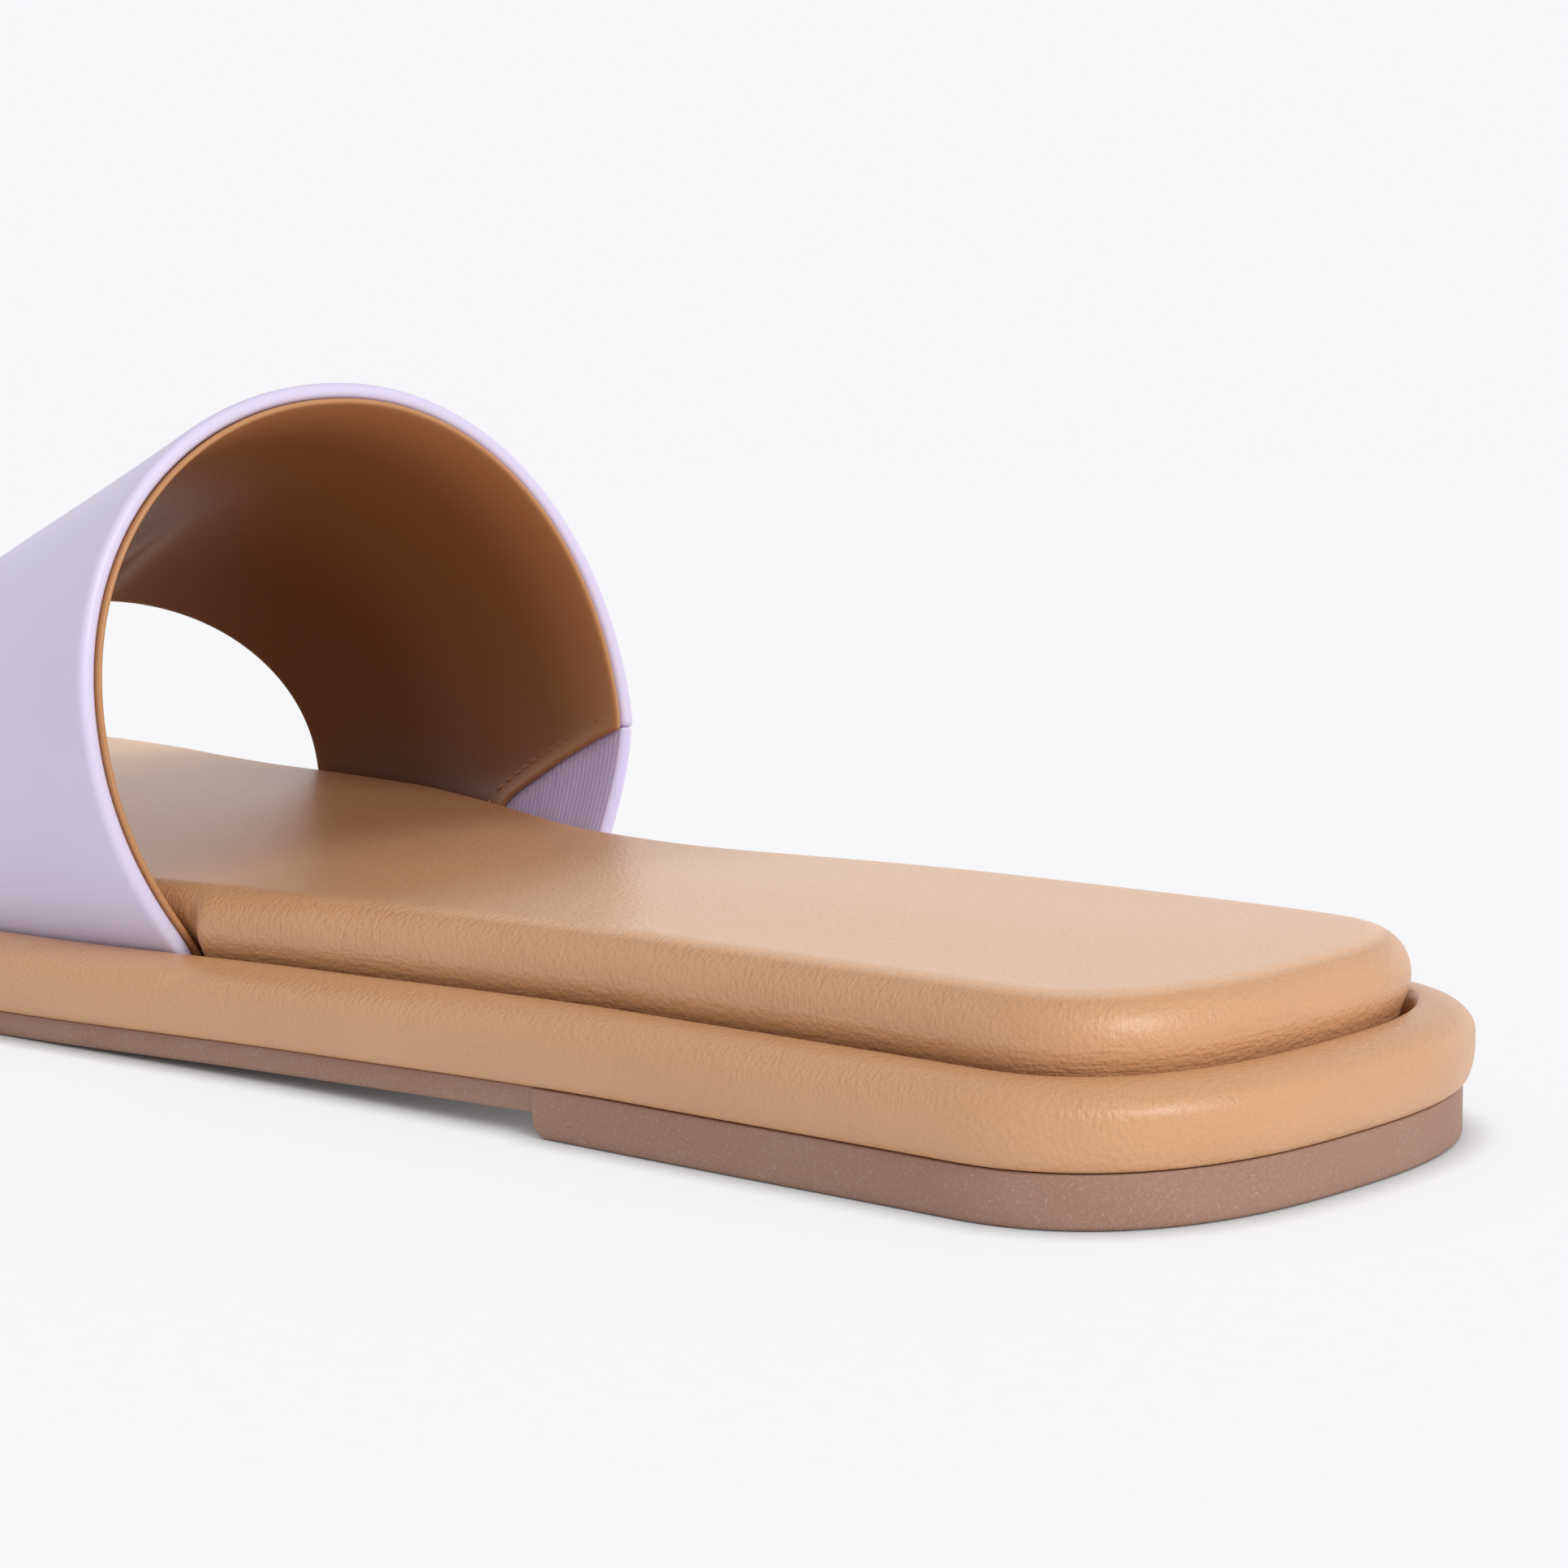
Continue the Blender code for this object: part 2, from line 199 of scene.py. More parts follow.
# Soft creases in the bead's wrap, where the strap's feet pinch it: x at the upper end, the side, the
# heights that it runs between, how far it leans on the way down, its depth and its half width.  It fades
# in and out over shares of the way down
Crease = namedtuple("Crease", "x side low high lean depth width")
BEAD_CREASES = (
    Crease(119.0, 1, 3.2, 7.6, 8.0, 0.30, 1.5),
    Crease(186.0, 1, 3.0, 7.6, -6.0, 0.25, 1.6),
    Crease(116.5, -1, 3.2, 7.6, 7.0, 0.28, 1.6),
    Crease(196.0, -1, 3.0, 7.6, -6.0, 0.22, 1.6),
    Crease(34.0, 1, 1.0, 5.5, 2.0, 0.08, 2.6),
    Crease(61.0, 1, 2.0, 6.5, -2.5, 0.07, 3.0),
    Crease(52.0, -1, 1.5, 6.0, 2.0, 0.08, 2.8),
)
CREASE_IN = (-0.25, 0.25)
CREASE_OUT = (0.6, 1.25)

# Slight unevenness of the wraps, its size, and where it sets in and ends: on the bead by height and by
# how far in it is, on the footbed by shares of its height
UNEVEN = 0.05
UNEVEN_SIZE = 17.0
UNEVEN_SPREAD = (0.7, 1.5)
UNEVEN_WAVES = 9
BEAD_SEED = 3
BEAD_SETS_IN = (0.0, 1.2)
BEAD_ENDS = (BEAD_CREST_IN - 0.5, RECESS_IN)
BED_SEED = 5
BED_SETS_IN = (0.0, 0.4)
BED_ENDS = (0.7, 1.0)

# Soft folds in the lining near the strap's front on the lateral side: length round the arch, how far
# they lean along it, half width, depth, and how far from the strap's rear they begin.  They set in over
# a length, and a share of painted sheen pales the colour along each fold
Fold = namedtuple("Fold", "run lean width depth start")
LINING_FOLDS = (
    Fold(63.0, 0.10, 1.6, 0.35, 30.0),
    Fold(68.0, -0.08, 1.2, 0.25, 36.0),
    Fold(73.5, 0.15, 1.8, 0.40, 26.0),
    Fold(79.0, -0.05, 1.3, 0.28, 34.0),
    Fold(85.0, 0.12, 2.0, 0.30, 30.0),
)
FOLD_ONSET = 15.0
FOLD_SHEEN = 0.45

# Painted sheen on a patch over those folds, in metres round the arch and from the strap's rear
PATCH_RUN = (0.060, 0.088)
PATCH_SOFT = 0.008
PATCH_DEPTH = (0.020, 0.046)
PATCH_SHEEN = 0.3

# Painted shade darkens the lining over these lengths from the strap's rear, in metres
PAINTED_SHADE_MID_AT = (0.0, 0.014)
PAINTED_SHADE_DEEP_AT = (0.014, 0.050)

# Relief in the leather: its lowest and highest place across the wrap and its depth
Relief = namedtuple("Relief", "low high depth")
BEAD_STROKES = Relief(4.5, 9.0, 0.05)
BED_STROKES = Relief(7.0, 12.5, 0.06)
BED_WRINKLES = Relief(2.0, 7.0, 0.06)
RELIEF_SOFT = 1.4

# Depth of each finer grain, and the roughness of each leather
WRAP_GRAIN = 0.10
WRAP_GLOSS = 0.42
LINING_GRAIN = 0.008
LINING_GLOSS = 0.46
THREAD_GRAIN = 0.01
THREAD_GLOSS = 0.40
PORE_SHARE = 0.4
SKIN_GRAIN = 0.006
SKIN_FINE = 0.004
RIB_DEPTH = 0.05
PICK_DEPTH = 0.006
RUBBER_DEPTH = 0.025

# Sizes of the textures in cells per metre, and the range that most of a noise lies in
DRIFT_CELLS = 55.0
PEBBLE_CELLS = 2000.0
PORE_CELLS = 5200.0
STROKE_CELLS = (2600.0, 760.0)
WRINKLE_CELLS = (330.0, 1700.0)
PATCH_CELLS = 70.0
SKIN_DRIFT_CELLS = 45.0
SKIN_GRAIN_CELLS = 3600.0
SKIN_FINE_CELLS = 7000.0
RIB_CELLS = 350.0
PICK_CELLS = 1050.0
FUZZ_CELLS = 3000.0
RUBBER_CLOUD_CELLS = 90.0
RUBBER_CELLS = 3200.0
DUST_CELLS = 900.0
PAPER_CELLS = 400.0
NOISE = (0.3, 0.7)

# Camera at the photograph's place, with its own framing
CAMERA_AT = (-0.350, 0.31273, 0.09508)
CAMERA_YAW = math.radians(-46.414)
CAMERA_PITCH = math.radians(-8.57)
CAMERA_ROLL = math.radians(-0.67)
FOCAL_PIXELS = 5271.0
IMAGE_PIXELS = 1932.0
SENSOR = 36.0
CLIP_START = 0.01

# Along the footbed, in metres from its middle: where the painted light on the heel's top ends, where the
# painted shade under the strap sets in, and where the painted light on the toe's top sets in.  All are on
# what faces up
PAINTED_LIGHT_BEHIND = (-0.045, -0.015)
PAINTED_SHADE_FROM = (0.0, 0.020)
PAINTED_LIGHT_AHEAD = (0.066, 0.096)
PAINTED_SHADE_SHARE = 0.9
TOP_FACING = (0.85, 0.99)

# Light: a dim surround with a bright low band beyond the sandal, and a soft key from behind its heel
SURROUND = 0.64
BAND = 1.30
BAND_ACROSS = (-0.1, 0.8)
BAND_UP = (0.15, 0.55)
KEY_FROM = (-0.82, 0.13, 0.55)
KEY_STRENGTH = 1.75
KEY_ANGLE = math.radians(28)
# The floor's own glow, and how ambient occlusion dims it near the sandal: a painted contact shadow
FLOOR_GLOW = 0.65
CONTACT_REACH = 0.004
CONTACT_POWER = 1.2
CONTACT_SAMPLES = 8
FLOOR_PLAIN = (0.25, 0.8)
FLOOR_HALF = 30000.0

# Colours, linear
TAN = (0.62, 0.325, 0.155)
TAN_DARK = (0.46, 0.215, 0.095)
# Painted light on the footbed's top behind and in front of the strap
TAN_PAINTED_LIGHT = (0.775, 0.468, 0.274)
LINING_TAN = (0.50, 0.215, 0.080)
LINING_DARK = (0.42, 0.170, 0.060)
# Painted shade inside the strap, mid and deep
LINING_PAINTED_SHADE_MID = (0.28, 0.105, 0.032)
LINING_PAINTED_SHADE_DEEP = (0.15, 0.050, 0.013)
LINING_RIM = (0.50, 0.235, 0.095)
# Painted sheen on the lining's folds
LINING_PAINTED_SHEEN = (0.36, 0.21, 0.155)
THREAD = (0.40, 0.18, 0.07)
THREAD_DARK = (0.30, 0.13, 0.05)
LILAC = (0.67, 0.61, 0.80)
LILAC_SHADE = (0.64, 0.58, 0.765)
ELASTIC = (0.82, 0.75, 1.00)
ELASTIC_DARK = (0.48, 0.43, 0.66)
BROWN = (0.315, 0.170, 0.115)
BROWN_DUST = (0.52, 0.41, 0.33)
WHITE = (0.93, 0.93, 0.947)
FLOOR_WHITE = (0.36, 0.36, 0.366)
FLOOR_SHADE = tuple(0.98 * part for part in FLOOR_WHITE)

# How finely the pieces are sampled.  A ring's own point within a share of a step of an extra place is
# left out, and points within WELD of each other are joined
RING_COUNT = 720
ROUND_STEPS = 12
SIDE_STEPS = 14
TOP_STEPS = 22
SOLE_LOW_STEPS = 4
SOLE_TOP_STEPS = 3
OUTLINE_SAMPLES = 3001
LEAST_STEP = 0.2
WELD = 0.002

# Rows and columns of the strap's sheets: even rows up to a place past the crown, then rows that fan out
# to the gore's edge and the front foot, with one more close to the gore's edge
STRAP_ROWS = 54
EDGE_COLUMNS = 18
FRONT_COLUMNS = 12
FAN_FROM = 3.5
FAN_ROWS = 16
FAN_POWER = 4.0
SEAM_SHARE = 0.012
GORE_COLUMNS = 14
GORE_ROWS = 10
GORE_RIM_SHARE = 0.35

# Lengths on the strap: the line on which the arch is measured, and samples along each line
RUN_V = 0.3
RUN_SAMPLES = 900
EDGE_SAMPLES = 120
STITCH_SAMPLES = 400
BETWEEN = 10
SMALL = 0.004


def smooth(rows, column, x):
    """Value of a table's column at x, on a curve through its rows that never overshoots them."""
    xs = np.array([row.x for row in rows], dtype=float)
    ys = np.array([getattr(row, column) for row in rows], dtype=float)
    step = np.diff(xs)
    rise = np.diff(ys) / step
    both = rise[:-1] + rise[1:]
    same_way = rise[:-1] * rise[1:] > 0
    inner = np.where(same_way, 2 * rise[:-1] * rise[1:] / np.where(same_way, both, 1.0), 0.0)
    slope = np.concatenate([rise[:1], inner, rise[-1:]])
    x = np.clip(np.asarray(x, dtype=float), xs[0], xs[-1])
    i = np.clip(np.searchsorted(xs, x) - 1, 0, len(xs) - 2)
    t = (x - xs[i]) / step[i]
    start = (2 * t**3 - 3 * t**2 + 1) * ys[i] + (t**3 - 2 * t**2 + t) * step[i] * slope[i]
    end = (3 * t**2 - 2 * t**3) * ys[i + 1] + (t**3 - t**2) * step[i] * slope[i + 1]
    return start + end


def ease(low, high, x):
    """Soft step from 0 at low to 1 at high."""
    share = np.clip((np.asarray(x, dtype=float) - low) / (high - low), 0.0, 1.0)
    return share * share * (3 - 2 * share)


def sole_top(x):
    return smooth(SOLE_LINE, "top", x)


def sole_edge(x, side):
    """Y of the outsole's edge at x, on the lateral side (+1) or the medial side (-1)."""
    x = np.asarray(x, dtype=float)
    width = smooth(PLAN, "lateral" if side > 0 else "medial", x)
    heel = np.clip((HEEL_ROUND - x) / HEEL_ROUND, 0.0, 1.0)
    toe = np.clip((x - LENGTH + TOE_ROUND) / TOE_ROUND, 0.0, 1.0)
    y = side * width * (1 - heel**HEEL_POWER) ** (1 / HEEL_POWER)
    return TOE_TIP_Y + (y - TOE_TIP_Y) * (1 - toe**TOE_POWER) ** (1 / TOE_POWER)


def line_run(points):
    """Length along an open line at each of its points."""
    steps = np.linalg.norm(np.diff(points, axis=0), axis=1)
    return np.concatenate([[0.0], np.cumsum(steps)])


def half_outline(side, extra):
    """Evenly spaced points along one side of the sole, from heel to toe, and at any extra places."""
    turn = np.linspace(0.0, math.pi, OUTLINE_SAMPLES)
    x = LENGTH * (1 - np.cos(turn)) / 2
    y = sole_edge(x, side)
    run = line_run(np.column_stack([x, y]))
    places = np.linspace(0.0, run[-1], RING_COUNT // 2 + 1)
    more = np.interp(extra, x, run)
    if len(more):
        clear = np.abs(places[:, None] - more[None, :]).min(axis=1) > LEAST_STEP * places[1]
        places = np.sort(np.concatenate([places[clear], more]))
    return np.column_stack([np.interp(places, run, x), np.interp(places, run, y)])


def outline(extra=()):
    """Ring round the sole: heel, lateral edge, toe, medial edge."""
    lateral = half_outline(1, extra)
    medial = half_outline(-1, extra)
    return np.concatenate([lateral, medial[-2:0:-1]])


def inset_ring(ring, inset):
    """The ring moved inwards along its own normals."""
    along = np.roll(ring, -1, axis=0) - np.roll(ring, 1, axis=0)
    along /= np.linalg.norm(along, axis=1)[:, None]
    inward = np.column_stack([along[:, 1], -along[:, 0]])
    return ring + inward * np.broadcast_to(inset, len(ring))[:, None]


def ring_run(ring):
    """Length along a closed ring at each of its points, and once more at its end."""
    step = np.linalg.norm(np.roll(ring, -1, axis=0) - ring, axis=1)
    return np.concatenate([[0.0], np.cumsum(step)])


def quarter(start, end, power, flat_first, steps=ROUND_STEPS):
    """Rounded corner from start to end, level at its first point or at its last."""
    points = []
    for turn in np.linspace(0.0, math.pi / 2, steps + 1):
        near = math.cos(turn) ** (2 / power)
        far = math.sin(turn) ** (2 / power)
        across = far if flat_first else 1 - near
        up = 1 - near if flat_first else far
        points.append((start[0] + (end[0] - start[0]) * across, start[1] + (end[1] - start[1]) * up))
    return points


def waves(points, seed):
    """Soft noise of about one unit at points in millimetres."""
    draw = np.random.default_rng(seed)
    total = np.zeros(len(points))
    for _ in range(UNEVEN_WAVES):
        way = draw.normal(size=3)
        way /= np.linalg.norm(way)
        length = UNEVEN_SIZE * draw.uniform(*UNEVEN_SPREAD)
        total += np.sin(points @ way * (2 * math.pi / length) + draw.uniform(0, 2 * math.pi))
    return total / math.sqrt(UNEVEN_WAVES / 2)


def pressed_in(ring, height, creases, seed):
    """How far a wrap is pressed in at a height: its listed creases, and a slight unevenness."""
    places = np.column_stack([ring, np.full(len(ring), float(height))])
    total = UNEVEN * waves(places, seed)
    for crease in creases:
        down = (crease.high - height) / (crease.high - crease.low)
        across = (ring[:, 0] - crease.x - crease.lean * down) / crease.width
        fade = ease(*CREASE_IN, down) * (1 - ease(*CREASE_OUT, down))
        trough = crease.depth * fade * np.exp(-(across**2))
        total = total + np.where(ring[:, 1] * crease.side > 0, trough, 0.0)
    return total


def footprint_middle():
    """Middle of the sandal's footprint, which the part sets on the origin."""
    rim = inset_ring(outline(), -BEAD_OUT)
    return np.array([*(rim.min(axis=0) + rim.max(axis=0)) / 2, 0.0])


ORIGIN = footprint_middle()


def new_object(name, points, faces, material, form=None):
    """Mesh object in the row frame, from points in millimetres; form is the UV of each face corner."""
    mesh = bpy.data.meshes.new(name)
    placed = (np.asarray(points, dtype=float) - ORIGIN) * MM
    mesh.from_pydata(placed.tolist(), [], faces)
    if form is not None:
        layer = mesh.uv_layers.new(name="form")
        layer.data.foreach_set("uv", (np.asarray(form, dtype=float) * MM).ravel())
    mesh.materials.append(material)
    mesh.shade_smooth()
    item = bpy.data.objects.new(name, mesh)
    bpy.context.scene.collection.objects.link(item)
    return item


def rung_faces(first, count, flip):
    """Cap of a ring: strips that run across from one side to the other."""
    faces = []
    for k in range(count // 2):
        corners = {k: None, k + 1: None, (count - k - 1) % count: None, (count - k) % count: None}
        face = [first + corner for corner in corners]
        faces.append(face[::-1] if flip else face)
    return faces


def loft(name, rings, material, cap_top=True):
    """Closed piece through a stack of rings, from the bottom up; the top ring may close on itself."""
    count = len(rings[0])
    points = np.concatenate(rings)
    run = ring_run(rings[0])
    up = np.zeros(len(rings))
    for level in range(1, len(rings)):
        up[level] = up[level - 1] + np.median(np.linalg.norm(rings[level] - rings[level - 1], axis=1))
    faces = []
    form = []
    for level in range(len(rings) - 1):
        low = level * count
        for k in range(count):
            after = (k + 1) % count
            faces.append((low + k, low + count + k, low + count + after, low + after))
            form += [(run[k], up[level]), (run[k], up[level + 1])]
            form += [(run[k + 1], up[level + 1]), (run[k + 1], up[level])]
    caps = rung_faces(0, count, False)
    if cap_top:
        caps += rung_faces((len(rings) - 1) * count, count, True)
    for face in caps:
        form += [(points[corner][0], points[corner][1]) for corner in face]
    item = new_object(name, points, faces + caps, material, form)
    if not cap_top:
        work = bmesh.new()
        work.from_mesh(item.data)
        bmesh.ops.remove_doubles(work, verts=work.verts, dist=WELD * MM)
        work.to_mesh(item.data)
        work.free()
    return item


def ring_at(ring, inset, height):
    """The inset ring at a height above the outsole's top."""
    flat = inset_ring(ring, inset)
    return np.column_stack([flat, sole_top(flat[:, 0]) + height])


def outsole_bottom(x):
    """Underside of the outsole: the heel block on the floor, its breast, then the thin sole."""
    thin = sole_top(x) - SOLE_THICK
    into = np.clip(x - BREAST_X + BREAST_ROUND, 0.0, BREAST_ROUND)
    block = BREAST_ROUND - np.sqrt(BREAST_ROUND**2 - into**2)
    return np.where(x > BREAST_X + BREAST_DRAFT / 2, thin, block)


def build_outsole(material):
    breast = BREAST_X - BREAST_ROUND * np.array(BREAST_SHARES)
    ring = outline(extra=[*breast, BREAST_X + BREAST_DRAFT])
    x = ring[:, 0]
    back = np.where(x > BREAST_X + BREAST_DRAFT / 2, THIN_SET_BACK, 0.0)
    low = outsole_bottom(x)
    top = sole_top(x)
    foot, side = (SOLE_LOW_ROUND, 0.0), (0.0, SOLE_LOW_ROUND)
    lower = quarter(foot, side, SOLE_ROUND_POWER, True, SOLE_LOW_STEPS)
    side, rim = (0.0, -SOLE_TOP_ROUND), (SOLE_TOP_ROUND, 0.0)
    upper = quarter(side, rim, SOLE_ROUND_POWER, False, SOLE_TOP_STEPS)
    levels = [(inset, low + height) for inset, height in lower]
    side_low, side_top = levels[-1][1], top - SOLE_TOP_ROUND
    levels += [(0.0, side_low + (side_top - side_low) * share) for share in SOLE_SIDE_SHARES]
    levels += [(inset, top + height) for inset, height in upper]
    rings = [np.column_stack([inset_ring(ring, back + inset), z]) for inset, z in levels]
    return loft("outsole_rubber", rings, material)


def build_midsole(material):
    ring = outline()
    foot = (BEAD_FOOT_IN, BEAD_FOOT)
    bulge = (-BEAD_OUT, BEAD_MID)
    crest = (BEAD_CREST_IN, BEAD_TOP)
    shoulder = (RECESS_IN, RECESS_SHOULDER)
    profile = quarter(foot, bulge, BEAD_LOW_POWER, True)
    profile += quarter(bulge, crest, BEAD_TOP_POWER, False)[1:]
    profile += quarter(crest, shoulder, RECESS_POWER, True)[1:]
    profile.append((RECESS_IN, RECESS_FLOOR))
    rings = []
    for inset, height in profile:
        shown = ease(*BEAD_SETS_IN, height) * (1 - ease(*BEAD_ENDS, inset))
        press = shown * pressed_in(ring, height, BEAD_CREASES, BEAD_SEED)
        rings.append(ring_at(ring, inset + press, height))
    return loft("midsole_wrap", rings, material)


def room_at(ring, height):
    """Room for the strap along a ring at a height, from the table of its own side."""
    levels = []
    for column in ("low", "side", "top"):
        lateral = smooth(LATERAL_ROOM, column, ring[:, 0])
        levels.append(np.where(ring[:, 1] > 0, lateral, smooth(MEDIAL_ROOM, column, ring[:, 0])))
    low, side, top = levels
    if height < BED_SIDE:
        return low + (side - low) * (height - BED_LOW) / (BED_SIDE - BED_LOW)
    return side + (top - side) * (height - BED_SIDE) / (BED_TOP - BED_SIDE)


def build_footbed(material):
    ring = outline()
    profile = [(BED_TUCK_IN + BED_CHAMFER, BED_LOW), (BED_TUCK_IN, BED_LOW + BED_CHAMFER)]
    for share in np.linspace(0.0, 1.0, SIDE_STEPS + 1):
        height = RECESS_SHOULDER + (BED_SIDE - RECESS_SHOULDER) * share
        profile.append((BED_TUCK_IN + (BED_SIDE_IN - BED_TUCK_IN) * ease(0, 1, share), height))
    side, top = (BED_SIDE_IN, BED_SIDE), (BED_TOP_IN, BED_TOP)
    profile += quarter(side, top, BED_TOP_POWER, False)[1:]
    rings = []
    for inset, height in profile:
        up = (height - BED_LOW) / (BED_TOP - BED_LOW)
        shown = ease(*BED_SETS_IN, up) * (1 - ease(*BED_ENDS, up))
        press = shown * pressed_in(ring, height, (), BED_SEED)
        rings.append(ring_at(ring, inset + press + room_at(ring, height), height))
    edge = rings[-1]
    mirror = np.roll(edge[::-1], 1, axis=0)
    spine = (edge + mirror) / 2
    spine[:, 0] = np.clip(spine[:, 0], SPINE_IN, LENGTH - SPINE_IN)
    spine[:, 1] = np.interp(spine[:, 0], *zip(*sorted(map(tuple, spine[:, :2]))))
    for share in np.linspace(0.0, 1.0, TOP_STEPS + 1)[1:]:
        flat = edge[:, :2] + (spine[:, :2] - edge[:, :2]) * share
        height = sole_top(flat[:, 0]) + BED_TOP + BED_DOME * ease(0, 1, share)
        rings.append(np.column_stack([flat, height]))
    return loft("footbed_pad", rings, material, cap_top=False)


@lru_cache(maxsize=None)
def strap_frame(v, side):
    """Foot, flank and crown of the strap at v on one side."""
    name = "lateral" if side > 0 else "medial"
    foot_x = float(smooth(STRAP, name + "_x", v))
    slope = float(sole_edge(foot_x + 1.0, side) - sole_edge(foot_x - 1.0, side)) / 2
    foot_y = float(sole_edge(foot_x, side)) - side * STRAP_FOOT_IN * math.hypot(1.0, slope)
    foot = np.array([foot_x, foot_y, float(sole_top(foot_x)) + BEAD_TOP])
    crown = np.array([float(smooth(STRAP, "crown_" + axis, v)) for axis in "xyz"])
    flank_y = foot[1] + side * float(smooth(STRAP, name + "_out", v))
    flank_z = float(smooth(STRAP, name + "_z", v))
    return foot, flank_y, flank_z, crown


def on_plane(y, z, foot, crown):
    """Point of a section, whose plane leans from its foot to its crown."""
    return np.array([foot[0] + (crown[0] - foot[0]) * (z - foot[2]) / (crown[2] - foot[2]), y, z])


def soft_power(t, power):
    """t to a power, from 0 to 1, without a sharp bend where it starts."""
    start = BEND_SOFT**power
    rise = (t**2 + BEND_SOFT**2) ** (power / 2) - start
    return rise / ((1 + BEND_SOFT**2) ** (power / 2) - start)


def flank_point(v, side, t):
    """Strap between its widest point (t = 0) and its foot (t = 1); past 1 it tucks in at the bead."""
    foot, flank_y, flank_z, crown = strap_frame(v, side)
    if t > 1.0:
        return foot + np.array([0.0, -side * STRAP_TUCK_IN, -STRAP_TUCK_DOWN]) * (t - 1.0)
    y = flank_y + (foot[1] - flank_y) * soft_power(t, LATERAL_POWER if side > 0 else MEDIAL_POWER)
    return on_plane(y, flank_z + (foot[2] - flank_z) * t, foot, crown)


def arch_point(v, side, turn):
    """Strap between its widest point (turn = 0) and its crown (turn = 90 degrees)."""
    foot, flank_y, flank_z, crown = strap_frame(v, side)
    power = ARCH_POWER if side > 0 else ARCH_POWER + (MEDIAL_FRONT_POWER - ARCH_POWER) * v
    y = crown[1] + (flank_y - crown[1]) * math.cos(turn) ** (2 / power)
    z = flank_z + (crown[2] - flank_z) * math.sin(turn) ** (2 / power)
    return on_plane(y, z, foot, crown)


def strap_point(v, g):
    """Strap at v and at g round its arch."""
    if g <= LATERAL_FLANK:
        return flank_point(v, 1, LATERAL_FLANK - g)
    if g <= CROWN:
        return arch_point(v, 1, (g - LATERAL_FLANK) * math.pi / 2)
    if g <= MEDIAL_FLANK:
        return arch_point(v, -1, (MEDIAL_FLANK - g) * math.pi / 2)
    return flank_point(v, -1, g - MEDIAL_FLANK)


@lru_cache(maxsize=None)
def run_table():
    """Places round the strap's arch, and the length up to each of them on a line behind its middle."""
    places = np.linspace(0.0, MEDIAL_TUCK, RUN_SAMPLES)
    return places, line_run(np.array([strap_point(RUN_V, g) for g in places]))


def run_at(g):
    """Length round the strap's arch up to a place."""
    places, run = run_table()
    return np.interp(g, places, run)


def place_at(length):
    """Place round the strap's arch at a length."""
    places, run = run_table()
    return np.interp(length, run, places)


def even_along(places, count):
    """Places (v, g) along a line of them, evenly spaced by their length on the strap."""
    run = line_run(np.array([strap_point(v, g) for v, g in places]))
    at = np.linspace(0.0, run[-1], count + 1)
    return np.column_stack([np.interp(at, run, places[:, 0]), np.interp(at, run, places[:, 1])])


def gore_edge(turn, lap=0.0):
    """Place on the gore's edge at a turn of it, from the strap's rear rim round to the gore's front,
    moved into the gore by a lap."""
    v = GORE_REACH * math.sin(turn) ** (2 / GORE_BEND) - lap / STRAP_LENGTH
    drop = GORE_DROP * (1 - math.cos(turn) ** (2 / GORE_BEND))
    return max(v, 0.0), MEDIAL_FLANK + GORE_TOP + lap / FLANK_HEIGHT + drop


def gore_line(lap):
    return np.array([gore_edge(turn, lap) for turn in np.linspace(0.0, math.pi / 2, EDGE_SAMPLES)])


def fan(high, low, downs, overs):
    """Rows of places from one line of them down to another.  Each row is at a share of the way down,
    and at a share of the way over to the lower line's places."""
    start = run_at(high[:, 1])
    end = run_at(low[:, 1])
    grid = []
    for down, over in zip(downs, overs):
        v = high[:, 0] + (low[:, 0] - high[:, 0]) * over
        grid.append(np.column_stack([v, place_at(start + (end - start) * down)]))
    return grid


def strap_grid(lap, rim_in):
    """Places of the strap's rows, from its lateral tuck over the arch.  On the medial side they come
    down to the gore's edge, and in front of the gore to the tuck."""
    edge = gore_line(lap)
    front = edge[-1, 0]
    edge = np.concatenate([edge, [[front, MEDIAL_FOOT], [front, MEDIAL_TUCK]]])
    under = even_along(np.array([[front, MEDIAL_TUCK], [1.0, MEDIAL_TUCK]]), FRONT_COLUMNS)
    low = np.concatenate([even_along(edge, EDGE_COLUMNS), under[1:]])
    inner = np.linspace(rim_in, STRAP_LENGTH - rim_in, len(low) - 2) / STRAP_LENGTH
    across = np.array([0.0, *inner, 1.0])
    upper = place_at(np.linspace(0.0, run_at(FAN_FROM), STRAP_ROWS + 1))
    rows = [np.column_stack([across, np.full(len(across), g)]) for g in upper]
    downs = np.array([*np.linspace(0.0, 1.0, FAN_ROWS + 1)[:-1], 1.0 - SEAM_SHARE, 1.0])
    return np.array(rows[:-1] + fan(rows[-1], low, downs, downs**FAN_POWER))


def edge_distance(points, edge):
    """Distance of each point from a line of points, with more of them taken between each two."""
    shares = np.linspace(0.0, 1.0, BETWEEN)
    fine = np.concatenate([edge[:-1] + (edge[1:] - edge[:-1]) * share for share in shares])
    return np.linalg.norm(points[:, None] - fine[None], axis=2).min(axis=1)


def sheet_points(grid):
    """Points of the strap at rows of places."""
    points = [strap_point(v, g) for v, g in grid.reshape(-1, 2)]
    return np.reshape(points, (*grid.shape[:2], 3))


